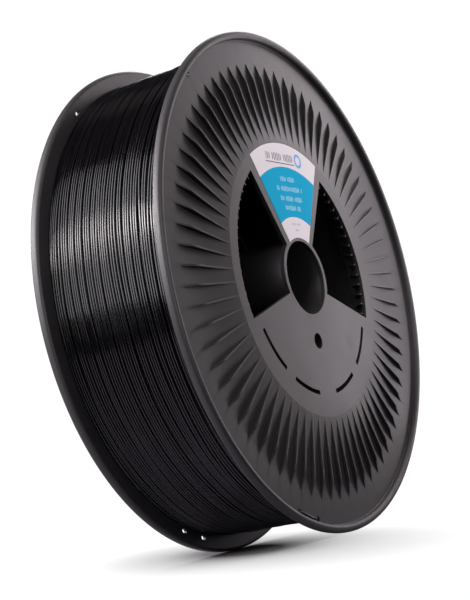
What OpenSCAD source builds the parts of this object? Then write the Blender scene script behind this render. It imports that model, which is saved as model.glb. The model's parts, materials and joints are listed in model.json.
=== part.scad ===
// Large filament spool: two finned flanges joined by a winding barrel and a hub tube,
// wound with plastic filament whose free end is threaded through the front rim.
// The spool's axis lies along Y, the labelled face looks to -Y and +Z is up.
// The origin is the middle of the bore. All sizes are in millimetres and degrees.

/* [Spool] */
// Outer diameter of the flanges
flange_d = 350; // [346:1:354]
// Overall width over the two rim beads
spool_w = 100; // [98:0.5:104]
// Diameter of the spindle bore
bore_d = 51.5; // [50.5:0.5:53]

/* [Flange plate] */
// Thickness of the plate between the barrel and the rim
plate_t = 2; // [1.6:0.1:2.6]
// How far the flat outer band lies below the rim bead's crest
band_drop = 4.3; // [3.5:0.1:5]
// How far the web lies below the rim bead's crest
web_drop = 0.8; // [0.4:0.1:1.2]
// Radius where the plate leaves the web and starts to cone inwards
cone_in_r = 97; // [96:0.5:100]
// Radius where the cone runs out into the flat outer band
cone_out_r = 136; // [130:1:142]
// Radial width of the rim bead
bead_w = 5.6; // [5:0.1:6.5]
// Corner radius of the rim bead
bead_corner = 2.4; // [1.5:0.1:2.5]

/* [Fins] */
// Number of stiffening fins round each flange
fin_n = 72; // [36:12:72]
// Thickness of a fin
fin_t = 1.4; // [1:0.1:2]
// How far the fins' tops lie below the web
fin_drop = 0.1; // [0.1:0.1:0.5]
// Radius where a fin is tallest
fin_peak_r = 140; // [136:1:145]
// Radius of a fin's outer tip
fin_tip_r = 153.5; // [148:0.5:160]
// Angle of the first fin, clockwise from straight up
fin_phase = 2; // [0:0.5:4.5]

/* [Web] */
// Thickness of the web
web_t = 3; // [2.5:0.1:4]
// Inner radius of the windows
window_in_r = 29.3; // [29:0.1:32]
// Outer radius of the windows
window_out_r = 87.6; // [86:0.1:88]
// Half angle of the label spoke at the windows' outer edge
spoke_outer_a = 34.5; // [31:0.5:38]
// Half angle of the label spoke at the windows' inner edge
spoke_inner_a = 39; // [36:0.5:42]
// Angle of the lower sector's edge at the windows' outer edge, from straight up
sector_outer_a = 109.2; // [106:0.1:114]
// Angle of the lower sector's edge at the windows' inner edge, from straight up
sector_inner_a = 112.5; // [108:0.5:116]

/* [Holes and slots] */
// Diameter of the driver hole
driver_d = 11; // [10:0.5:12]
// Distance from the axis to the driver hole
driver_r = 44.5; // [42:0.5:48]
// Middle radius of the arc slots
slot_r = 80.8; // [78:0.1:83]
// Width of the arc slots
slot_w = 3; // [2:0.1:4]
// Distance from the axis to the filament end holes
end_hole_r = 166.8; // [164:0.1:167]
// Width of an end hole, along the radius
end_hole_w = 3; // [2.5:0.1:3.4]
// Length of an end hole, round the rim
end_hole_l = 5; // [4:0.1:7]

/* [Barrel and hub] */
// Outer radius of the winding barrel
barrel_r = 96.5; // [95:0.1:96.9]
// Wall of the winding barrel
barrel_t = 3.5; // [2.5:0.1:4]
// Wall of the hub tube
hub_t = 3.2; // [2:0.1:3.5]
// Wall of the spigot that centres the barrel on a flange
spigot_t = 2.5; // [2:0.1:3]
// Length of that spigot below the web
spigot_l = 9; // [5:0.5:14]
// How far the gussets reach inwards past the windows' edge
gusset_reach = 3.6; // [2:0.1:4]

/* [Filament] */
// Diameter of the filament strand
strand_d = 1.75; // [1.75, 2.85]
// Outer radius of the winding
wound_r = 164.5; // [130:0.5:166]
// Gap left between the winding and a flange
wound_gap = 0.1; // [0.05:0.05:0.5]

/* [Label] */
// Thickness of the label
label_t = 0.2; // [0.1:0.05:0.3]
// Half angle of the label
label_a = 29.5; // [25:0.5:31]
// Inner radius of the label
label_in_r = 28; // [27:0.5:32]
// Outer radius of the label
label_out_r = 95.5; // [90:0.5:96]

/* [Hidden] */
$fn = 96;

flange_r = flange_d / 2;
bore_r = bore_d / 2;
crest_z = spool_w / 2;
web_z = crest_z - web_drop;
web_under_z = web_z - web_t;
band_z = crest_z - band_drop;
band_under_z = band_z - plate_t;
bead_in_r = flange_r - bead_w;
spigot_r = barrel_r - barrel_t;
// The plate's underside runs parallel to the cone on its outer face.
cone_drop = web_z - band_z;
cone_under_z = band_under_z + cone_drop;
// Each pair holds the first and last angle of a slot, clockwise from straight up.
slot_angles = [[116, 140], [148.5, 171.5], [188.5, 211.5], [220, 244]];
// Angles of the rim holes that the filament's end can be threaded through.
end_hole_angles = [194.8, 202.7, 322.3];

plastic_color = [0.20, 0.19, 0.20];
filament_color = [0.05, 0.05, 0.06];
label_color = [0.00, 0.65, 0.85];

// A point at radius r and angle a, clockwise from straight up, seen from outside.
function at(r, a) = [r * sin(a), r * cos(a)];

// Turns a shape drawn round Z into the spool's own frame, with its top facing -Y.
module facing_front() {
    rotate([90, 0, 0]) children();
}

// Puts a child at angle a, clockwise from straight up, with its own +X along the radius.
module spoke_at(a) {
    rotate([0, 0, 90 - a]) children();
}

// A flat bar of thickness t that stands on a radius, from its outline in (radius, height).
module radial_plate(outline, t) {
    rotate([90, 0, 0])
        translate([0, 0, -t / 2])
            linear_extrude(t) polygon(outline);
}

// Points of an arc round a centre, from angle a0 to angle a1.
function arc(centre, r, a0, a1, steps = 6) = [
    for (i = [0:steps])
        let (a = a0 + (a1 - a0) * i / steps)
        centre + r * [cos(a), sin(a)]
];

// Section of a flange from the bore to the rim, with the spigot and the rounded bead.
module flange_section() {
    spigot_low = web_under_z - spigot_l;
    near = bead_in_r + bead_corner;
    far = flange_r - bead_corner;
    low = band_under_z + bead_corner;
    high = crest_z - bead_corner;
    polygon(concat(
        [[bore_r, web_under_z], [spigot_r - spigot_t, web_under_z],
         [spigot_r - spigot_t, spigot_low], [spigot_r, spigot_low],
         [spigot_r, web_under_z], [barrel_r, web_under_z],
         [cone_in_r, cone_under_z], [cone_out_r, band_under_z]],
        arc([far, low], bead_corner, -90, 0),
        arc([far, high], bead_corner, 0, 90),
        arc([near, high], bead_corner, 90, 180),
        [[bead_in_r, band_z], [cone_out_r, band_z], [cone_in_r, web_z], [bore_r, web_z]]
    ));
}

// One stiffening fin: nearly level with the web up to its peak, then sloping down to its
// tip. Its foot is sunk in the plate.
module fin() {
    foot = plate_t / 2;
    top_z = web_z - fin_drop;
    slope = (fin_tip_r - fin_peak_r) / (top_z - band_z);
    radial_plate([
        [cone_in_r - 1, web_z - foot], [cone_in_r - 1, top_z], [fin_peak_r, top_z],
        [fin_tip_r + slope * foot, band_z - foot], [cone_out_r, band_z - foot]
    ], fin_t);
}

// One gusset between the web ring and the spigot, showing at the window's edge.
module gusset() {
    radial_plate([
        [window_out_r - gusset_reach, web_under_z + web_t / 2],
        [spigot_r - spigot_t / 2, web_under_z + web_t / 2],
        [spigot_r - spigot_t / 2, web_under_z - spigot_l + 1],
        [window_out_r - gusset_reach, web_under_z - 1]
    ], 1);
}

// The opening between the label spoke and the lower sector.
module window_cut() {
    p = at(window_in_r, spoke_inner_a);
    q = at(window_out_r, spoke_outer_a);
    s = at(window_out_r, sector_outer_a);
    t = at(window_in_r, sector_inner_a);
    depth = web_t + 2;
    overrun = 0.3;
    translate([0, 0, web_under_z - 1])
        linear_extrude(depth)
            intersection() {
                difference() {
                    circle(window_out_r);
                    circle(window_in_r);
                }
                polygon([p - overrun * (q - p), q + overrun * (q - p),
                         s + overrun * (s - t), t - overrun * (s - t)]);
            }
}

// One arc slot, from angle a0 to angle a1.
module arc_slot(a0, a1) {
    translate([0, 0, web_under_z - 1])
        linear_extrude(web_t + 2)
            intersection() {
                difference() {
                    circle(slot_r + slot_w / 2);
                    circle(slot_r - slot_w / 2);
                }
                polygon([[0, 0], 2 * at(slot_r, a0), 2 * at(slot_r, a1)]);
            }
}

// One rim hole for the filament's end: a short slot that follows the rim.
module end_hole(a) {
    half = (end_hole_l - end_hole_w) / 2;
    spoke_at(a)
        translate([end_hole_r, 0, band_under_z - 1]) {
            for (side = [-half, half])
                translate([0, side, 0]) cylinder(h = plate_t + 2, d = end_hole_w, $fn = 32);
            translate([-end_hole_w / 2, -half, 0])
                cube([end_hole_w, 2 * half, plate_t + 2]);
        }
}

// A whole flange, drawn with its outer face up.
module flange() {
    difference() {
        union() {
            rotate_extrude() flange_section();
            for (i = [0:fin_n - 1])
                spoke_at(fin_phase + i * 360 / fin_n) fin();
        }
        for (side = [0, 1])
            mirror([side, 0, 0]) window_cut();
        for (pair = slot_angles)
            arc_slot(pair[0], pair[1]);
        translate([0, -driver_r, web_under_z - 1])
            cylinder(h = web_t + 2, d = driver_d, $fn = 48);
        for (a = end_hole_angles)
            end_hole(a);
    }
    for (i = [0:fin_n - 1])
        spoke_at(fin_phase + i * 360 / fin_n) gusset();
}

module front_flange() {
    color(plastic_color) facing_front() flange();
}

module rear_flange() {
    color(plastic_color) facing_front() mirror([0, 0, 1]) flange();
}

module winding_barrel() {
    color(plastic_color)
        facing_front()
            rotate_extrude()
                translate([spigot_r, -web_under_z]) square([barrel_t, 2 * web_under_z]);
}

module hub_tube() {
    color(plastic_color)
        facing_front()
            rotate_extrude()
                translate([bore_r, -web_under_z]) square([hub_t, 2 * web_under_z]);
}

// The winding as one closed ring that fills the space between the flanges.
module wound_filament() {
    inner_z = cone_under_z - wound_gap;
    outer_z = band_under_z - wound_gap;
    color(filament_color)
        facing_front()
            rotate_extrude()
                polygon([
                    [barrel_r, -web_under_z + wound_gap], [cone_in_r, -inner_z],
                    [cone_out_r, -outer_z], [wound_r, -outer_z],
                    [wound_r, outer_z], [cone_out_r, outer_z],
                    [cone_in_r, inner_z], [barrel_r, web_under_z - wound_gap]
                ]);
}

// Points of the strand's end as [radius, angle, height]: off the winding, out through one
// rim hole, along the band beside the bead and back in through the next hole.
end_route = [
    [165.5, 222, 40], [165.6, 217, 40.6], [165.9, 212, 41.2], [166.3, 208, 41.9],
    [166.7, 204.6, 42.9], [166.9, 202.9, 44.7], [167.2, 201.6, 46.3], [167.7, 200, 47],
    [167.9, 198.6, 47.1], [167.6, 197.1, 46.9], [167.1, 195.7, 46.1], [166.8, 194.6, 44.5],
    [166.6, 193.4, 42.8], [166.3, 191.6, 41.8]
];

function route_point(p) = [p[0] * sin(p[1]), p[0] * cos(p[1]), p[2]];
function unit(v) = v / norm(v);

// One point of a Catmull-Rom curve between p1 and p2.
function curve_point(p0, p1, p2, p3, t) =
    0.5 * (2 * p1 + (p2 - p0) * t + (2 * p0 - 5 * p1 + 4 * p2 - p3) * t * t
           + (3 * p1 - p0 - 3 * p2 + p3) * t * t * t);

// The whole curve through the points, with the given number of steps in each span.
function smooth_route(points, steps) = [
    for (i = [0:len(points) - 2], k = [0:steps - 1])
        curve_point(points[max(i - 1, 0)], points[i], points[i + 1],
                    points[min(i + 2, len(points) - 1)], k / steps),
    points[len(points) - 1]
];

// One ring of a tube round point i of a path, with its first vertex turned outwards.
function tube_ring(path, i, r, sides) =
    let (along = unit(path[min(i + 1, len(path) - 1)] - path[max(i - 1, 0)]),
         side = unit(cross(along, [0.1, 0.2, 1])),
         up = cross(side, along))
    [for (k = [0:sides - 1])
        path[i] + r * (cos(360 * k / sides) * side + sin(360 * k / sides) * up)];

// A round tube swept along a path, closed at both ends.
module tube(path, r, sides) {
    rings = len(path);
    vertices = [for (i = [0:rings - 1]) each tube_ring(path, i, r, sides)];
    walls = [for (i = [0:rings - 2], k = [0:sides - 1])
        let (next = (k + 1) % sides)
        [i * sides + k, (i + 1) * sides + k, (i + 1) * sides + next, i * sides + next]];
    first_cap = [[for (k = [0:sides - 1]) k]];
    last_cap = [[for (k = [0:sides - 1]) rings * sides - 1 - k]];
    polyhedron(vertices, concat(walls, first_cap, last_cap), convexity = 4);
}

module filament_end() {
    path = smooth_route([for (p = end_route) route_point(p)], 3);
    color(filament_color) facing_front() tube(path, strand_d / 2, 8);
}

// A paper sector on the spoke.
module front_label() {
    color(label_color)
        facing_front()
            translate([0, 0, web_z])
                linear_extrude(label_t)
                    intersection() {
                        difference() {
                            circle(label_out_r);
                            circle(label_in_r);
                        }
                        polygon([[0, 0], 2 * at(label_out_r, -label_a), 2 * at(label_out_r, label_a)]);
                    }
}

front_flange();
rear_flange();
winding_barrel();
hub_tube();
wound_filament();
filament_end();
front_label();
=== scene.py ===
# A large filament spool: two finned flanges on a barrel and a hub tube, wound with a black
# strand whose end is threaded through the rim, with a printed paper label on the spoke.
# Dictionaries of pieces hold millimetres and degrees, and those of the studio hold metres.
# Pieces are drawn round Z with their outer face up, then turned to face -Y.
import json
import math

import bmesh
import bpy
from mathutils import Matrix, Quaternion, Vector, noise


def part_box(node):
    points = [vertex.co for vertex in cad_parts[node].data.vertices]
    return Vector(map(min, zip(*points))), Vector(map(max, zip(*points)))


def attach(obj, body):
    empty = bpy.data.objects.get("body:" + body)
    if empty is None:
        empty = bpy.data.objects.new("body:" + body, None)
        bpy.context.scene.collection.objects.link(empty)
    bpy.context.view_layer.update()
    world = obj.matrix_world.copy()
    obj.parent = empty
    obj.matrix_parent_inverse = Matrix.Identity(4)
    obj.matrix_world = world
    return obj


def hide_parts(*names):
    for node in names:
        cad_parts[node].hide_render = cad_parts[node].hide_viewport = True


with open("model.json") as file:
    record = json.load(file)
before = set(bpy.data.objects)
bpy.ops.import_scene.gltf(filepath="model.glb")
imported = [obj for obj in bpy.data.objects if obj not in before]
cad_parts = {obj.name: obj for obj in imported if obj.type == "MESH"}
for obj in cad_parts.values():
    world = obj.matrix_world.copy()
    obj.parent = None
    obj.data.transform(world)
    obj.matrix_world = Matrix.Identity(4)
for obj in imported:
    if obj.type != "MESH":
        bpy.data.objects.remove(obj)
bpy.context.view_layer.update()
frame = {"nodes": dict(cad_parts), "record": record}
print("frame loaded:", ", ".join(sorted(frame["nodes"])))

mm = 0.001
facingFront = Matrix.Rotation(math.radians(90), 4, "X")
facingRear = facingFront @ Matrix.Scale(-1, 4, (0, 0, 1))
mounts = {mount["name"]: mount for mount in frame["record"]["mounts"]}


def nodeReach(node):
    # radius and half length of a round node, from the frame
    low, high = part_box(node)
    return high.x / mm, max(-low.y, high.y) / mm


def polar(radius, angle, height=0.0):
    # the angle runs clockwise from straight up, seen from outside the front flange
    turn = math.radians(angle)
    return Vector((radius * math.sin(turn), radius * math.cos(turn), height))


def roundedOutline(corners, steps=4):
    # corners are (x, y, corner radius), and each one with a radius becomes an arc
    outline = []
    for i, (x, y, radius) in enumerate(corners):
        corner = Vector((x, y))
        if radius == 0:
            outline.append(corner)
            continue
        before = (Vector(corners[i - 1][:2]) - corner).normalized()
        after = (Vector(corners[(i + 1) % len(corners)][:2]) - corner).normalized()
        half = before.angle(after) / 2
        middle = corner + (before + after).normalized() * radius / math.sin(half)
        start = corner + before * radius / math.tan(half) - middle
        end = corner + after * radius / math.tan(half) - middle
        sweep = math.copysign(math.pi - 2 * half, start.cross(end))
        outline += [middle + Matrix.Rotation(sweep * k / steps, 2) @ start
                    for k in range(steps + 1)]
    return outline


def outlineRing(bm, points):
    # a closed ring of edges through the points
    verts = [bm.verts.new(point) for point in points]
    return verts, [bm.edges.new((verts[i - 1], verts[i])) for i in range(len(verts))]


def spunSection(outline, steps):
    # a closed section of (radius, height) points turned all the way round Z
    bm = bmesh.new()
    verts, edges = outlineRing(bm, [(point[0], 0, point[1]) for point in outline])
    bmesh.ops.spin(bm, geom=verts + edges, cent=(0, 0, 0), axis=(0, 0, 1),
                   angle=2 * math.pi, steps=steps, use_merge=True)
    bmesh.ops.remove_doubles(bm, verts=bm.verts, dist=0.001)
    bmesh.ops.recalc_face_normals(bm, faces=bm.faces)
    return bm


def extrudedOutline(bm, points, depth):
    # a flat face through the points, thickened by the depth vector
    face = bm.faces.new([bm.verts.new(point) for point in points])
    grown = bmesh.ops.extrude_face_region(bm, geom=[face])["geom"]
    top = [item for item in grown if isinstance(item, bmesh.types.BMVert)]
    bmesh.ops.translate(bm, vec=depth, verts=top)
    return top


def softenEdges(bm, edges, width, segments=2):
    bmesh.ops.bevel(bm, geom=edges, offset=width, segments=segments, profile=0.5,
                    affect="EDGES", clamp_overlap=True, material=-1)


def sharpEdges(bm, least=60):
    limit = math.radians(least)
    return [edge for edge in bm.edges if len(edge.link_faces) == 2
            and edge.calc_face_angle() > limit]


def makePiece(bm, name, placing=None, sharpest=40):
    # a finished bmesh in millimetres becomes an object in metres
    if placing is not None:
        bmesh.ops.transform(bm, matrix=placing @ Matrix.Scale(mm, 4), verts=bm.verts)
        if placing.determinant() < 0:
            bmesh.ops.reverse_faces(bm, faces=bm.faces)
    mesh = bpy.data.meshes.new(name)
    bm.to_mesh(mesh)
    bm.free()
    return linkPiece(mesh, name, sharpest)


def linkPiece(mesh, name, sharpest=40):
    mesh.polygons.foreach_set("use_smooth", [True] * len(mesh.polygons))
    mesh.set_sharp_from_angle(angle=math.radians(sharpest))
    piece = bpy.data.objects.new(name, mesh)
    bpy.context.scene.collection.objects.link(piece)
    return piece


def combine(piece, tool, operation):
    # an exact boolean, applied at once, after which the tool is thrown away
    change = piece.modifiers.new(operation.lower(), "BOOLEAN")
    change.operation = operation
    change.solver = "EXACT"
    change.object = tool
    graph = bpy.context.evaluated_depsgraph_get()
    mesh = bpy.data.meshes.new_from_object(piece.evaluated_get(graph))
    piece.modifiers.clear()
    piece.data = mesh
    bpy.data.objects.remove(tool)


def settle(piece, body, slotName, *nodes):
    # the calls that tie a finished piece to the frame
    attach(piece, body)
    if nodes:
        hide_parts(*nodes)
    print("made", piece.name, "with", len(piece.data.polygons), "faces")


class Tap:
    # one socket of a shader graph, so that sums on values read as expressions
    def __init__(self, graph, socket):
        self.graph, self.socket = graph, socket

    def math(self, operation, *others):
        values = {i: value for i, value in enumerate((self,) + others)}
        return self.graph.add("Math", {"operation": operation}, values)[0]

    def __add__(self, other):
        return self.math("ADD", other)

    def __sub__(self, other):
        return self.math("SUBTRACT", other)

    def __mul__(self, other):
        return self.math("MULTIPLY", other)

    def __truediv__(self, other):
        return self.math("DIVIDE", other)

    def __pow__(self, other):
        return self.math("POWER", other)

    def __lt__(self, other):
        return self.math("LESS_THAN", other)

    def __gt__(self, other):
        return self.math("GREATER_THAN", other)

    def __rsub__(self, other):
        return self.graph.add("Math", {"operation": "SUBTRACT"}, {0: other, 1: self})[0]

    def __rtruediv__(self, other):
        return self.graph.add("Math", {"operation": "DIVIDE"}, {0: other, 1: self})[0]

    __radd__ = __add__
    __rmul__ = __mul__


class Graph:
    # the node tree of one material
    def __init__(self, name):
        self.material = bpy.data.materials.new(name)
        self.material.use_nodes = True
        self.tree = self.material.node_tree
        self.shader = self.tree.nodes["Principled BSDF"]
        self.place = self.add("TexCoord", {}, {})["Object"]

    def add(self, kind, settings, values):
        node = self.tree.nodes.new("ShaderNode" + kind)
        for key, value in settings.items():
            setattr(node, key, value)
        for key, value in values.items():
            self.feed(node.inputs[key], value)
        taps = {}
        for i, socket in enumerate(node.outputs):
            taps[i] = Tap(self, socket)
            if socket.enabled:
                taps[socket.name] = taps[i]
        return taps

    def feed(self, socket, value):
        if isinstance(value, Tap):
            self.tree.links.new(value.socket, socket)
        else:
            socket.default_value = value

    def set(self, **values):
        for key, value in values.items():
            self.feed(self.shader.inputs[key.replace("_", " ")], value)

    def noise(self, scale, detail=3.0, stretch=(1, 1, 1), roughness=0.5):
        place = self.place
        if stretch != (1, 1, 1):
            place = self.add("Mapping", {}, {"Vector": place, "Scale": stretch})["Vector"]
        settings = {"Vector": place, "Scale": scale, "Detail": detail, "Roughness": roughness}
        return self.add("TexNoise", {}, settings)["Fac"]

    def remap(self, value, low, high, fromLow=0.0, fromHigh=1.0):
        values = {"Value": value, "From Min": fromLow, "From Max": fromHigh,
                  "To Min": low, "To Max": high}
        return self.add("MapRange", {}, values)["Result"]

    def blend(self, factor, first, second):
        values = {"Factor": factor, 6: first, 7: second}
        return self.add("Mix", {"data_type": "RGBA"}, values)[2]

    def bump(self, height, depth):
        return self.add("Bump", {}, {"Height": height, "Distance": depth})["Normal"]


def opaque(red, green, blue):
    return (red, green, blue, 1.0)


# noise scales count per metre, bump depths are metres, and a span is the part of a noise used
plasticLook = {
    "color": opaque(0.017, 0.0155, 0.0165), "worn": opaque(0.026, 0.024, 0.0255),
    "grainScale": 2600, "grainDepth": 0.000030, "grainRough": 0.03,
    "flowScale": 14, "flowTone": 0.55, "toneSpan": (0.35, 0.7),
    "roughLow": 0.36, "roughHigh": 0.44, "roughSpan": (0.3, 0.7),
    "scuffScale": 60, "scuffSpan": (0.56, 0.74), "scuffTone": 0.5, "scuffRough": 0.06,
}


def satinPlastic():
    look = plasticLook
    graph = Graph("satin moulded plastic")
    grain = graph.noise(look["grainScale"], 2.0)
    flow = graph.noise(look["flowScale"], 4.0)
    marks = graph.noise(look["scuffScale"], 6.0, roughness=0.7)
    scuffs = graph.remap(marks, 0, 1, *look["scuffSpan"])
    tone = graph.remap(flow, 0, look["flowTone"], *look["toneSpan"]) + scuffs * look["scuffTone"]
    graph.set(Base_Color=graph.blend(tone, look["color"], look["worn"]))
    rough = graph.remap(flow, look["roughLow"], look["roughHigh"], *look["roughSpan"])
    graph.set(Roughness=rough + scuffs * look["scuffRough"] + grain * look["grainRough"])
    graph.set(Normal=graph.bump(grain, look["grainDepth"]))
    return graph.material


strandLook = {
    "color": opaque(0.0012, 0.0010, 0.0013), "pale": opaque(0.0030, 0.0026, 0.0032),
    "roughLow": 0.09, "roughHigh": 0.22, "roughSpan": (0.35, 0.65),
    # these two noises run long round the spool and change from strand to strand
    "streakStretch": (16, 620, 16), "rippleStretch": (36, 500, 36),
    "rippleDepth": 0.00002, "batchScale": 34, "batchShare": 0.4,
}


def glossyStrand():
    look = strandLook
    graph = Graph("glossy black strand")
    streak = graph.noise(1.0, 3.0, look["streakStretch"])
    batch = graph.noise(look["batchScale"], 3.0)
    graph.set(Base_Color=graph.blend(streak, look["color"], look["pale"]))
    uneven = streak * (1 - look["batchShare"]) + batch * look["batchShare"]
    graph.set(Roughness=graph.remap(uneven, look["roughLow"], look["roughHigh"],
                                    *look["roughSpan"]))
    ripple = graph.noise(1.0, 2.0, look["rippleStretch"])
    graph.set(Normal=graph.bump(ripple, look["rippleDepth"]))
    return graph.material


labelPrint = {
    "white": opaque(0.80, 0.755, 0.785), "blue": opaque(0.0, 0.385, 0.64),
    "ink": opaque(0.16, 0.14, 0.16), "pale": opaque(0.52, 0.78, 0.90),
    "iconBlue": opaque(0.22, 0.42, 0.78), "bandOuter": 78.5, "bandInner": 42.7,
    "gloss": 0.03, "roughLow": 0.5, "roughHigh": 0.62, "roughScale": 220,
    "fibreScale": 1400, "fibreDepth": 0.000012, "fibreShade": (0.96, 1.02),
    # a stroke's share of its pitch, its shortest and uneven height, and how often words part
    "strokeShare": 0.45, "strokeLeast": 0.33, "strokeUneven": 0.17, "wordGap": 0.16,
    "scatter": 12.9898, "smallInk": 0.6, "bandInk": 0.8,
}
# each greeked line is (middle x, middle height, width, height of its marks, mark pitch)
titleLine = (-6.0, 85.2, 38, 5.6, 2.3)
titleRule = (-6.0, 80.9, 41, 0.7)
bandLines = [(0.5, 69.6, 21, 3.6, 1.7), (0.5, 62.6, 36, 3.6, 1.9),
             (0.5, 55.6, 30, 3.6, 1.8), (0.5, 49.0, 22, 3.6, 1.7)]
smallLines = [(0.0, 37.6, 12, 1.6, 1.1), (0.0, 33.4, 5, 1.6, 1.0)]
iconSpot = {"x": 20.5, "z": 84.4, "outer": 5.2, "inner": 3.1}


def printedPaper():
    look = labelPrint
    graph = Graph("printed label paper")
    axes = graph.add("SeparateXYZ", {}, {"Vector": graph.place})
    x, z = axes["X"] / mm, axes["Z"] / mm
    radius = (x * x + z * z) ** 0.5

    def bar(middleX, middleZ, width, height):
        across = (x - middleX).math("ABSOLUTE") < width / 2
        return across * ((z - middleZ).math("ABSOLUTE") < height / 2)

    def marks(middleX, middleZ, width, height, pitch):
        # a row of short strokes of uneven height, with a gap between its words
        cell = (x / pitch).math("FLOOR")
        chance = (cell * look["scatter"] + middleZ).math("SINE").math("ABSOLUTE")
        stroke = (x / pitch).math("FRACT") < look["strokeShare"]
        half = height * look["strokeLeast"] + chance * (height * look["strokeUneven"])
        tall = (z - middleZ).math("ABSOLUTE") < half
        return bar(middleX, middleZ, width, height) * stroke * tall * (chance > look["wordGap"])

    band = (radius < look["bandOuter"]) * (radius > look["bandInner"])
    ground = graph.blend(band, look["white"], look["blue"])
    title = marks(*titleLine) + bar(*titleRule)
    for line in smallLines:
        title = title + marks(*line) * look["smallInk"]
    ground = graph.blend(title.math("MINIMUM", 1.0), ground, look["ink"])
    lines = marks(*bandLines[0])
    for line in bandLines[1:]:
        lines = lines + marks(*line)
    ground = graph.blend(lines.math("MINIMUM", 1.0) * look["bandInk"], ground, look["pale"])
    fromIcon = ((x - iconSpot["x"]) ** 2 + (z - iconSpot["z"]) ** 2) ** 0.5
    ring = (fromIcon < iconSpot["outer"]) * (fromIcon > iconSpot["inner"])
    ground = graph.blend(ring, ground, look["iconBlue"])
    fibre = graph.noise(look["fibreScale"], 3.0)
    shade = graph.remap(fibre, *look["fibreShade"])
    graph.set(Base_Color=graph.add("Mix", {"data_type": "RGBA", "blend_type": "MULTIPLY"},
                                   {"Factor": 1.0, 6: ground, 7: shade})[2])
    sheen = graph.noise(look["roughScale"], 3.0)
    graph.set(Roughness=graph.remap(sheen, look["roughLow"], look["roughHigh"]))
    graph.set(Normal=graph.bump(fibre, look["fibreDepth"]), Specular_IOR_Level=look["gloss"])
    return graph.material


plastic = satinPlastic()
strandFinish = glossyStrand()
paper = printedPaper()
print("materials ready")

# sizes that the frame gives, which every piece starts from
flangeRadius, crestHeight = nodeReach("front_flange")
barrelRadius, barrelEnd = nodeReach("winding_barrel")
hubRadius, hubEnd = nodeReach("hub_tube")
boreRadius = mounts["spindle_bore"]["dims"]["r_mm"]
driverRadius = mounts["front_driver_hole"]["dims"]["r_mm"]
driverOffset = -mounts["front_driver_hole"]["pos_m"][2] / mm

flangeSpec = {
    "webTop": crestHeight - 0.8, "webUnder": barrelEnd, "bandTop": crestHeight - 4.3,
    "plate": 2.0, "coneStart": 97.0, "coneEnd": 136.0,
    "beadWidth": 5.6, "beadCorner": 2.4, "beadCrease": 0.5,
    "spigotWall": 2.5, "spigotLength": 9.0, "spigotRadius": barrelRadius - 3.5,
    "boreRound": 0.5, "webRound": 3, "coneRound": 300, "coneUnderRound": 6,
    "spigotRound": 0.5, "spigotRootRound": 0.6,
    "steps": 360, "edgeRound": 0.3, "holeSteps": 48,
}
finSpec = {
    "count": 72, "phase": 2.0, "thickness": 1.4, "drop": 0.1, "peak": 140.0, "tip": 153.5,
    "foot": 1.0, "peakRound": 25.0, "edge": 0.3, "edgeReach": 0.4,
}
windowSpec = {
    "inner": 29.3, "outer": 87.6, "spokeOuter": 34.5, "spokeInner": 39.0,
    "sectorOuter": 109.2, "sectorInner": 112.5, "outerSteps": 40, "innerSteps": 24,
    "gussetReach": 3.6, "gussetThickness": 1.0, "gussetTop": 1.5, "gussetRound": 0.5,
}
slotSpec = {"radius": 80.8, "width": 3.0, "spans": [(116, 140), (148.5, 171.5)], "steps": 14}
endHoleSpec = {"radius": 166.8, "width": 3.0, "length": 5.0, "angles": [194.8, 202.7, 322.3],
               "steps": 6}
overrun = 1.0  # how far cutters and gussets reach past the faces that they meet


def flangeOutline():
    # the section of a flange from the bore out to the bead, as corners with their radii
    spec = flangeSpec
    top, under, band = spec["webTop"], spec["webUnder"], spec["bandTop"]
    bandUnder = band - spec["plate"]
    coneUnder = bandUnder + top - band
    low = under - spec["spigotLength"]
    outer, corner = spec["spigotRadius"], spec["beadCorner"]
    inner = outer - spec["spigotWall"]
    beadInner = flangeRadius - spec["beadWidth"]
    return roundedOutline([
        (boreRadius, under, 0), (inner, under, spec["spigotRootRound"]),
        (inner, low, spec["spigotRound"]), (outer, low, spec["spigotRound"]),
        (outer, under, 0), (barrelRadius, under, 0), (spec["coneStart"], coneUnder, 0),
        (spec["coneEnd"], bandUnder, spec["coneUnderRound"]),
        (flangeRadius, bandUnder, corner), (flangeRadius, crestHeight, corner),
        (beadInner, crestHeight, corner), (beadInner, band, spec["beadCrease"]),
        (spec["coneEnd"], band, spec["coneRound"]), (spec["coneStart"], top, spec["webRound"]),
        (boreRadius, top, spec["boreRound"]),
    ])


def standOnRadius(bm, fresh, angle):
    # turns what was drawn along +X to an angle clockwise from straight up
    bmesh.ops.rotate(bm, cent=(0, 0, 0), verts=fresh,
                     matrix=Matrix.Rotation(math.radians(90 - angle), 3, "Z"))


def addRadialPlate(bm, outline, thickness, angle, edge):
    # a flat plate standing on a radius, drawn from its (radius, height) outline
    before = set(bm.verts)
    points = [(r, -thickness / 2, z) for r, z in outline]
    extrudedOutline(bm, points, (0, thickness, 0))
    fresh = [vert for vert in bm.verts if vert not in before]
    if edge:
        lowest = flangeSpec["bandTop"] - finSpec["edgeReach"]
        rims = {e for vert in fresh for e in vert.link_edges}
        tops = [e for e in rims if abs(e.verts[0].co.y - e.verts[1].co.y) < 0.001
                and min(vert.co.z for vert in e.verts) > lowest]
        softenEdges(bm, tops, edge)
        fresh = [vert for vert in bm.verts if vert not in before]
    standOnRadius(bm, fresh, angle)


def finOutline():
    spec = finSpec
    top, band = flangeSpec["webTop"] - spec["drop"], flangeSpec["bandTop"]
    start = flangeSpec["coneStart"] - 1
    slope = (spec["tip"] - spec["peak"]) / (top - band)
    foot = spec["foot"]
    return roundedOutline([
        (start, flangeSpec["webTop"] - foot, 0), (flangeSpec["coneEnd"], band - foot, 0),
        (spec["tip"] + slope * foot, band - foot, 0), (spec["peak"], top, spec["peakRound"]),
        (start, top, 0),
    ])


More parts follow.
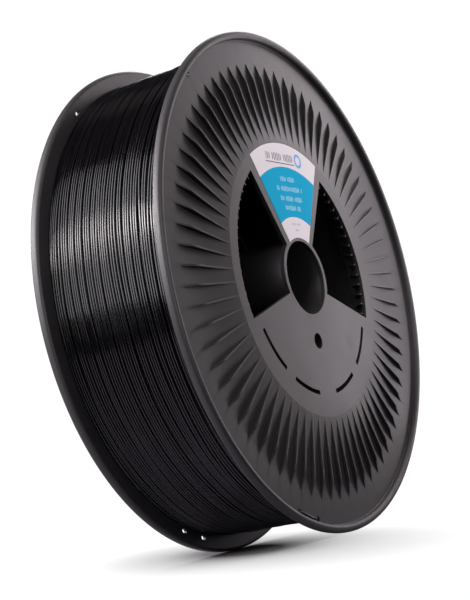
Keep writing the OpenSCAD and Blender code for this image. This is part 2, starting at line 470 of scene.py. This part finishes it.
def finRing():
    bm = bmesh.new()
    outline = finOutline()
    for i in range(finSpec["count"]):
        angle = finSpec["phase"] + i * 360 / finSpec["count"]
        addRadialPlate(bm, outline, finSpec["thickness"], angle, finSpec["edge"])
    bmesh.ops.recalc_face_normals(bm, faces=bm.faces)
    return bm


def gussetRing():
    bm = bmesh.new()
    spec, under = windowSpec, flangeSpec["webUnder"]
    inner = spec["outer"] - spec["gussetReach"]
    outer = flangeSpec["spigotRadius"] - flangeSpec["spigotWall"] / 2
    low = under - flangeSpec["spigotLength"] + overrun
    top, corner = under + spec["gussetTop"], spec["gussetRound"]
    outline = roundedOutline([(inner, top, corner), (outer, top, 0), (outer, low, 0),
                              (inner, under - overrun, corner)])
    for i in range(finSpec["count"]):
        angle = finSpec["phase"] + i * 360 / finSpec["count"]
        addRadialPlate(bm, outline, spec["gussetThickness"], angle, 0)
    bmesh.ops.recalc_face_normals(bm, faces=bm.faces)
    return bm


def arcPoints(radius, first, last, height, steps):
    return [polar(radius, first + (last - first) * k / steps, height)
            for k in range(steps + 1)]


def flangeCutters():
    # windows, arc slots, driver hole and rim holes, each a closed prism
    bm = bmesh.new()
    spec = windowSpec
    floor = flangeSpec["webUnder"] - overrun
    depth = (0, 0, flangeSpec["webTop"] - floor + overrun)
    for side in (1, -1):
        rim = arcPoints(spec["outer"], side * spec["spokeOuter"], side * spec["sectorOuter"],
                        floor, spec["outerSteps"])
        core = arcPoints(spec["inner"], side * spec["sectorInner"], side * spec["spokeInner"],
                         floor, spec["innerSteps"])
        extrudedOutline(bm, rim + core, depth)
        for first, last in slotSpec["spans"]:
            half, steps = slotSpec["width"] / 2, slotSpec["steps"]
            outer = arcPoints(slotSpec["radius"] + half, side * first, side * last, floor, steps)
            inner = arcPoints(slotSpec["radius"] - half, side * last, side * first, floor, steps)
            extrudedOutline(bm, outer + inner, depth)
    count = flangeSpec["holeSteps"]
    hole = [polar(driverRadius, 360 * k / count, floor) - Vector((0, driverOffset, 0))
            for k in range(count)]
    extrudedOutline(bm, hole, depth)
    for angle in endHoleSpec["angles"]:
        addEndHole(bm, angle)
    bmesh.ops.recalc_face_normals(bm, faces=bm.faces)
    return bm


def addEndHole(bm, angle):
    # a short slot with round ends that follows the rim
    before = set(bm.verts)
    spec = endHoleSpec
    width, length = spec["width"] / 2, spec["length"] / 2
    corners = [(spec["radius"] + sx * width, sy * length, width * 0.98)
               for sx, sy in ((-1, -1), (1, -1), (1, 1), (-1, 1))]
    floor = flangeSpec["bandTop"] - flangeSpec["plate"] - overrun
    extrudedOutline(bm, [(x, y, floor) for x, y in roundedOutline(corners, spec["steps"])],
                    (0, 0, flangeSpec["plate"] + 2 * overrun))
    standOnRadius(bm, [vert for vert in bm.verts if vert not in before], angle)


def flangeMesh():
    # a whole flange in millimetres, with its outer face up
    body = makePiece(spunSection(flangeOutline(), flangeSpec["steps"]), "flangeBlank")
    combine(body, makePiece(flangeCutters(), "cutters"), "DIFFERENCE")
    combine(body, makePiece(finRing(), "fins"), "UNION")
    combine(body, makePiece(gussetRing(), "gussets"), "UNION")
    bm = bmesh.new()
    bm.from_mesh(body.data)
    bpy.data.objects.remove(body)
    bmesh.ops.remove_doubles(bm, verts=bm.verts, dist=0.002)
    # the web's outer face is flat, so the spin's spokes across it aren't needed
    flat = [edge for edge in bm.edges if all(abs(vert.co.z - flangeSpec["webTop"]) < 0.001
                                             for face in edge.link_faces
                                             for vert in face.verts)]
    bmesh.ops.dissolve_limit(bm, angle_limit=math.radians(0.05), verts=[], edges=flat,
                             use_dissolve_boundaries=False)
    softenEdges(bm, webCutEdges(bm), flangeSpec["edgeRound"])
    return bm


def webCutEdges(bm):
    # the rims that the windows, slots and driver hole leave in the web's outer face
    top = flangeSpec["webTop"]
    return [edge for edge in sharpEdges(bm)
            if all(abs(vert.co.z - top) < 0.01 for vert in edge.verts)]


def makeFlanges():
    first = flangeMesh()
    second = first.copy()
    for bm, name, node, placing in (
            (first, "frontFlange", "front_flange", facingFront),
            (second, "rearFlange", "rear_flange", facingRear)):
        piece = makePiece(bm, name, placing)
        piece.modifiers.new("evenShading", "WEIGHTED_NORMAL").keep_sharp = True
        piece.data.materials.append(plastic)
        settle(piece, "root", "spool_plastic", node)


makeFlanges()

tubeSpec = {"steps": 240, "chamfer": 0.5, "hubInner": boreRadius,
            "barrelInner": flangeSpec["spigotRadius"]}


def makeTube(name, node, inner, outer, end):
    edge = tubeSpec["chamfer"]
    outline = roundedOutline([(inner, -end, edge), (outer, -end, edge), (outer, end, edge),
                              (inner, end, edge)], 2)
    piece = makePiece(spunSection(outline, tubeSpec["steps"]), name, facingFront)
    piece.data.materials.append(plastic)
    settle(piece, "root", "spool_plastic", node)


makeTube("hubTube", "hub_tube", tubeSpec["hubInner"], hubRadius, hubEnd)
makeTube("windingBarrel", "winding_barrel", tubeSpec["barrelInner"], barrelRadius, barrelEnd)

# the winding is a scalloped ring of older strand with one long helix of strand on top
woundRadius = nodeReach("wound_filament")[0]
windingSpec = {
    "strand": 1.75,
    # the ring: how deep it lies, how its scallops are drawn and how it wanders
    "layerDrop": 2.3, "roundSteps": 180, "pointsPerTurn": 5, "inset": 0.96, "clearance": 0.1,
    "wander": 0.22, "wanderDepth": 6, "wanderScale": (0.02, 0.02, 0.35), "wanderSink": 0.6,
    # the helix, and the gaps that bunch its turns, placed and opened in turns
    "turns": 44, "ringsPerTurn": 216, "startAngle": 222, "pitchShare": 0.99, "endRoom": 0.15,
    "gaps": 16, "gapEvery": 3.1, "firstGap": 1.2, "gapWander": 1.5, "gapOpening": 0.5,
    "gapWidth": 1.15, "gapLeast": 0.8, "gapSpread": 1.1,
    "drift": 0.9, "strandLift": 0.30, "bunchLift": 0.45,
}
bandUnder = flangeSpec["bandTop"] - flangeSpec["plate"]


def underLayerOutline():
    # the ring of wound strand below the last layer, scalloped like strands side by side
    spec = windingSpec
    radius = spec["strand"] / 2
    gap = spec["clearance"]
    half = bandUnder - gap
    count = int(2 * half / spec["strand"])
    pitch = 2 * half / count
    crown = woundRadius - spec["layerDrop"] - radius
    points = [Vector((barrelRadius, barrelEnd - gap)), Vector((barrelRadius, gap - barrelEnd))]
    points.append(Vector((flangeSpec["coneEnd"], -half)))
    for i in range(count):
        middle = -half + (i + 0.5) * pitch
        for k in range(spec["pointsPerTurn"]):
            turn = math.pi * (k / (spec["pointsPerTurn"] - 1))
            points.append(Vector((crown + radius * math.sin(turn),
                                  middle - radius * spec["inset"] * math.cos(turn))))
    points.append(Vector((flangeSpec["coneEnd"], half)))
    return points


def makeUnderLayer():
    spec = windingSpec
    bm = spunSection(underLayerOutline(), spec["roundSteps"])
    for vert in bm.verts:
        reach = math.hypot(vert.co.x, vert.co.y)
        if reach > woundRadius - spec["wanderDepth"]:
            spot = Vector([place * scale for place, scale in zip(vert.co, spec["wanderScale"])])
            vert.co *= 1 + spec["wander"] * (noise.noise(spot) - spec["wanderSink"]) / reach
    piece = makePiece(bm, "woundFilament", facingFront, 80)
    piece.data.materials.append(strandFinish)
    settle(piece, "root", "filament", "wound_filament")


def waver(around, scale, *offset):
    # smooth noise round the spool, where the offset keeps one use apart from the next
    return noise.noise(around * scale + Vector(offset))


def groupShift(turn, around):
    # how far the gaps between groups have pushed a strand along, in millimetres
    spec = windingSpec
    shift = 0.0
    for gap in range(spec["gaps"]):
        where = waver(around, 0.9, 0, 0, gap * 7.3)
        size = waver(around, 1.1, 9.1, 0, gap * 5.7)
        middle = gap * spec["gapEvery"]
        edge = (turn - middle - spec["firstGap"] - spec["gapWander"] * where) / spec["gapOpening"]
        edge = min(max(edge, 0), 1)
        width = max(spec["gapWidth"] * (spec["gapLeast"] + spec["gapSpread"] * size), 0)
        shift += width * edge * edge * (3 - 2 * edge)
    return shift


def topLayerPath():
    # one helix from the rear flange to the front one, bunched in groups that wander
    spec = windingSpec
    radius = spec["strand"] / 2
    limit = bandUnder - spec["endRoom"] - radius
    points = []
    for i in range(spec["turns"] * spec["ringsPerTurn"] + 1):
        turn = i / spec["ringsPerTurn"]
        angle = spec["startAngle"] - 360 * turn
        around = polar(1, angle)
        shift = groupShift(turn, around)
        sway = spec["drift"] * waver(around, 1.6, 0, 0, turn * 0.16)
        height = limit - turn * spec["strand"] * spec["pitchShare"] - shift + sway
        sink = spec["strandLift"] * (0.9 + waver(around, 2.3, 0, 0, turn * 1.9))
        sink += spec["bunchLift"] * (0.6 + waver(around, 3.5, 4, 0, turn * 0.3))
        reach = woundRadius - radius - max(sink, 0)
        height = max(-limit, min(limit, height))
        points.append(polar(reach, angle, height))
    return points


def strandMesh(name, path, radius, rings):
    # a round strand swept along a path of points in millimetres, closed at both ends
    curve = bpy.data.curves.new(name, "CURVE")
    curve.dimensions = "3D"
    curve.bevel_depth = radius * mm
    curve.bevel_resolution = rings
    curve.use_fill_caps = True
    spline = curve.splines.new("POLY")
    spline.points.add(len(path) - 1)
    for spot, point in zip(spline.points, path):
        spot.co = (*(facingFront @ (point * mm)), 1)
    holder = bpy.data.objects.new(name + "Curve", curve)
    bpy.context.scene.collection.objects.link(holder)
    graph = bpy.context.evaluated_depsgraph_get()
    mesh = bpy.data.meshes.new_from_object(holder.evaluated_get(graph))
    mesh.name = name
    bpy.data.objects.remove(holder)
    return mesh


def makeTopLayer():
    mesh = strandMesh("topLayer", topLayerPath(), windingSpec["strand"] / 2, 1)
    piece = linkPiece(mesh, "topLayer", 80)
    piece.data.materials.clear()
    piece.data.materials.append(strandFinish)
    settle(piece, "root", "filament")


makeUnderLayer()
makeTopLayer()

# points are (radius, angle, height): off the winding, out of one rim hole and in at the next
endRoute = [
    (165.5, 222, 40), (165.6, 217, 40.6), (165.9, 212, 41.2), (166.3, 208, 41.9),
    (166.7, 204.6, 42.9), (166.9, 202.9, 44.7), (167.2, 201.6, 46.3), (167.7, 200, 47),
    (167.9, 198.6, 47.1), (167.6, 197.1, 46.9), (167.1, 195.7, 46.1), (166.8, 194.6, 44.5),
    (166.6, 193.4, 42.8), (166.3, 191.6, 41.8),
]
endSpec = {"stepsPerPoint": 8, "roundness": 4, "sharpest": 60}


def smoothRoute(points, steps):
    # a Catmull-Rom curve through the points
    last = len(points) - 1
    route = []
    for i in range(last):
        p0, p1 = points[max(i - 1, 0)], points[i]
        p2, p3 = points[i + 1], points[min(i + 2, last)]
        for k in range(steps):
            t = k / steps
            route.append(0.5 * (2 * p1 + (p2 - p0) * t
                                + (2 * p0 - 5 * p1 + 4 * p2 - p3) * t * t
                                + (3 * p1 - p0 - 3 * p2 + p3) * t * t * t))
    return route + [points[last]]


def makeFilamentEnd():
    route = smoothRoute([polar(*point) for point in endRoute], endSpec["stepsPerPoint"])
    mesh = strandMesh("filamentEnd", route, windingSpec["strand"] / 2, endSpec["roundness"])
    piece = linkPiece(mesh, "filamentEnd", endSpec["sharpest"])
    piece.data.materials.clear()
    piece.data.materials.append(strandFinish)
    settle(piece, "root", "filament", "filament_end")


makeFilamentEnd()

labelSpec = {"inner": 28.0, "outer": 95.5, "halfAngle": 29.5, "thickness": 0.2, "edge": 0.05,
             "outerSteps": 48, "innerSteps": 32}


def makeLabel():
    spec = labelSpec
    bm = bmesh.new()
    base = flangeSpec["webTop"]
    half = spec["halfAngle"]
    rim = arcPoints(spec["outer"], -half, half, base, spec["outerSteps"])
    core = arcPoints(spec["inner"], half, -half, base, spec["innerSteps"])
    top = extrudedOutline(bm, rim + core, (0, 0, spec["thickness"]))
    edges = [edge for edge in bm.edges if all(vert in set(top) for vert in edge.verts)]
    softenEdges(bm, edges, spec["edge"], 1)
    bmesh.ops.recalc_face_normals(bm, faces=bm.faces)
    piece = makePiece(bm, "frontLabel", facingFront)
    piece.data.materials.append(paper)
    settle(piece, "root", "label_paper", "front_label")


makeLabel()

# from here on sizes are in metres
stageSpec = {
    # paper is the floor's grey in the patch below, a painted shadow, and the colour after it is a
    # darker painted shadow where the spool stands
    "radius": 6.0, "glow": 1.05, "paper": opaque(0.17, 0.17, 0.17),
    "paintedContactShadow": opaque(0.03, 0.03, 0.03), "dull": 0.9,
    # in a patch round where the spool stands the floor is painted grey as a shadow, darker
    # towards its middle, and it takes the real shadows too; beyond it the floor glows white
    "patchMiddle": (-0.02, 0.03), "patchTurn": 45, "patchHalf": (0.36, 0.09),
    "paintedShadowTo": 0.5, "fadeFrom": 0.22, "fadeTo": 1.0,
    "tableMiddle": (-0.1, 0.3), "tableHalf": (0.5, 0.4), "tableGrey": opaque(0.16, 0.15, 0.18),
    "tableLift": 0.0002, "cardGap": 0.0001, "cardDepth": 0.0005,
    "roomTint": opaque(0.9, 0.92, 1.0), "roomGlow": 0.015,
}


def makeFloor():
    spec = stageSpec
    bm = bmesh.new()
    bmesh.ops.create_circle(bm, cap_ends=True, segments=96, radius=spec["radius"])
    bmesh.ops.translate(bm, vec=(0, 0, -flangeRadius * mm), verts=bm.verts)
    floor = makePiece(bm, "floor")
    graph = Graph("pale floor")
    middle, (long, wide) = Vector((*spec["patchMiddle"], 0)), spec["patchHalf"]
    shifted = graph.add("VectorMath", {"operation": "SUBTRACT"},
                        {0: graph.place, 1: middle})["Vector"]
    turned = graph.add("VectorRotate", {"rotation_type": "Z_AXIS"},
                       {"Vector": shifted, "Angle": -math.radians(spec["patchTurn"])})["Vector"]
    squashed = graph.add("VectorMath", {"operation": "MULTIPLY"},
                         {0: turned, 1: (1 / long, 1 / wide, 0)})["Vector"]
    away = graph.add("VectorMath", {"operation": "LENGTH"}, {0: squashed})["Value"]
    # painted shadow: the floor's colour goes from the paper grey to almost black towards the
    # middle of the patch
    paintedShadow = graph.remap(away, 0, 1, 0, spec["paintedShadowTo"])
    graph.set(Base_Color=graph.blend(paintedShadow, spec["paintedContactShadow"], spec["paper"]),
              Roughness=spec["dull"], Specular_IOR_Level=0.0)
    fade = graph.remap(away, 0, 1, spec["fadeFrom"], spec["fadeTo"])
    glow = graph.add("Emission", {}, {"Color": opaque(1, 1, 1), "Strength": spec["glow"]})
    plain = Tap(graph, graph.shader.outputs[0])
    mixed = graph.add("MixShader", {}, {0: fade, 1: plain, 2: glow[0]})
    graph.feed(graph.tree.nodes["Material Output"].inputs["Surface"], mixed[0])
    floor.data.materials.append(graph.material)
    floor.visible_glossy = floor.visible_diffuse = False
    makeShineFloor()


def makeShineFloor():
    # a grey table top that only the object's shine picks up
    spec = stageSpec
    bm = bmesh.new()
    bmesh.ops.create_grid(bm, x_segments=1, y_segments=1, size=1)
    bmesh.ops.scale(bm, vec=(*spec["tableHalf"], 1), verts=bm.verts)
    bmesh.ops.translate(bm, vec=(*spec["tableMiddle"], spec["tableLift"] - flangeRadius * mm),
                        verts=bm.verts)
    table = makePiece(bm, "shineFloor")
    graph = Graph("grey table top")
    graph.set(Base_Color=spec["tableGrey"], Roughness=spec["dull"])
    table.data.materials.append(graph.material)
    table.visible_camera = table.visible_shadow = table.visible_diffuse = False


def makeBlackCard():
    # a card just inside the rear windows keeps the lamps behind the spool out of its hollow
    bm = bmesh.new()
    radius = flangeSpec["spigotRadius"] - flangeSpec["spigotWall"] - stageSpec["cardGap"] / mm
    height = flangeSpec["webUnder"] - stageSpec["cardDepth"] / mm
    bmesh.ops.create_circle(bm, cap_ends=True, segments=96, radius=radius)
    bmesh.ops.translate(bm, vec=(0, 0, height), verts=bm.verts)
    card = makePiece(bm, "blackCard", facingRear)
    graph = Graph("black card")
    graph.set(Base_Color=opaque(0, 0, 0), Roughness=1.0, Specular_IOR_Level=0.0)
    card.data.materials.append(graph.material)
    card.visible_camera = False


def makeWorld():
    # white behind the object, but a dim room as far as the object's own shine goes
    world = bpy.data.worlds.new("studio")
    world.use_nodes = True
    bpy.context.scene.world = world
    nodes, links = world.node_tree.nodes, world.node_tree.links
    backdrop = nodes["Background"]
    backdrop.inputs["Color"].default_value = opaque(1, 1, 1)
    backdrop.inputs["Strength"].default_value = stageSpec["glow"]
    room = nodes.new("ShaderNodeBackground")
    room.inputs["Color"].default_value = stageSpec["roomTint"]
    room.inputs["Strength"].default_value = stageSpec["roomGlow"]
    path = nodes.new("ShaderNodeLightPath")
    mix = nodes.new("ShaderNodeMixShader")
    links.new(path.outputs["Is Camera Ray"], mix.inputs[0])
    links.new(room.outputs[0], mix.inputs[1])
    links.new(backdrop.outputs[0], mix.inputs[2])
    links.new(mix.outputs[0], nodes["World Output"].inputs["Surface"])


# azimuth is measured from the front (-Y) towards the right (+X), and power is in watts
lightSpecs = {
    "overhead": {"azimuth": -90, "elevation": 80, "distance": 1.6, "size": (1.5, 1.5),
                 "power": 40, "tint": (1, 1, 1), "shine": False},
    "topGlint": {"azimuth": 80, "elevation": 80, "distance": 1.6, "size": (0.5, 0.4),
                 "power": 0.25, "tint": (1, 0.90, 0.86), "shine": True},
    "topFront": {"azimuth": 15, "elevation": 55, "distance": 1.5, "size": (1.0, 1.0),
                 "power": 6, "tint": (1, 0.95, 0.98), "shine": False},
    "front": {"azimuth": -12, "elevation": 12, "distance": 1.6, "size": (1.4, 1.0),
              "power": 11, "tint": (1, 0.95, 0.98), "shine": True},
    "topRight": {"azimuth": 58, "elevation": 38, "distance": 0.42, "size": (0.25, 0.25),
                 "power": 0.07, "tint": (1, 0.90, 0.94), "shine": True},
    "rightStrip": {"azimuth": 65, "elevation": 16, "distance": 0.42, "size": (0.26, 0.62),
                   "power": 0.40, "tint": (1, 0.91, 0.96), "shine": True},
    "rightEdge": {"azimuth": 60, "elevation": 17, "distance": 0.30, "size": (0.08, 0.42),
                  "power": 0.28, "tint": (1, 0.91, 0.96), "shine": True},
    "rightBack": {"azimuth": 104, "elevation": 26, "distance": 1.6, "size": (0.7, 1.3),
                  "power": 14, "tint": (0.97, 0.95, 1), "shine": True},
    "leftStrip": {"azimuth": -128, "elevation": 31, "distance": 1.6, "size": (2.8, 0.26),
                  "power": 40, "tint": (1, 0.93, 0.91), "shine": True},
    "leftFill": {"azimuth": -122, "elevation": 29.5, "distance": 1.6, "size": (3.2, 1.76),
                 "power": 74, "tint": (0.96, 0.93, 1), "shine": True},
}


def aimed(azimuth, elevation, distance):
    turn, rise = math.radians(azimuth), math.radians(elevation)
    return Vector((math.sin(turn) * math.cos(rise), -math.cos(turn) * math.cos(rise),
                   math.sin(rise))) * distance


def makeLights():
    for name, spec in lightSpecs.items():
        data = bpy.data.lights.new(name, "AREA")
        data.shape = "RECTANGLE"
        data.size, data.size_y = spec["size"]
        data.energy = spec["power"]
        data.color = spec["tint"]
        lamp = bpy.data.objects.new(name, data)
        lamp.location = aimed(spec["azimuth"], spec["elevation"], spec["distance"])
        lamp.rotation_euler = (-lamp.location).to_track_quat("-Z", "Y").to_euler()
        lamp.visible_camera = False
        lamp.visible_glossy = spec["shine"]
        bpy.context.scene.collection.objects.link(lamp)


cameraSpec = {"place": (-0.89995, -0.50729, -0.12522), "aim": (0, 0.00953, -0.00276),
              "lean": 10.656, "lens": 88.73, "clipStart": 0.01}


def makeCamera():
    data = bpy.data.cameras.new("camera")
    data.lens = cameraSpec["lens"]
    data.clip_start = cameraSpec["clipStart"]
    camera = bpy.data.objects.new("camera", data)
    place, aim = Vector(cameraSpec["place"]), Vector(cameraSpec["aim"])
    level = (aim - place).to_track_quat("-Z", "Y")
    lean = Quaternion((0, 0, 1), -math.radians(cameraSpec["lean"]))
    camera.location = place
    camera.rotation_euler = (level @ lean).to_euler()
    bpy.context.scene.collection.objects.link(camera)
    bpy.context.scene.camera = camera


makeFloor()
makeBlackCard()
makeWorld()
makeLights()
makeCamera()
bpy.context.scene.view_settings.view_transform = "Standard"
print("stage, lights and camera ready")

bpy.context.view_layer.update()
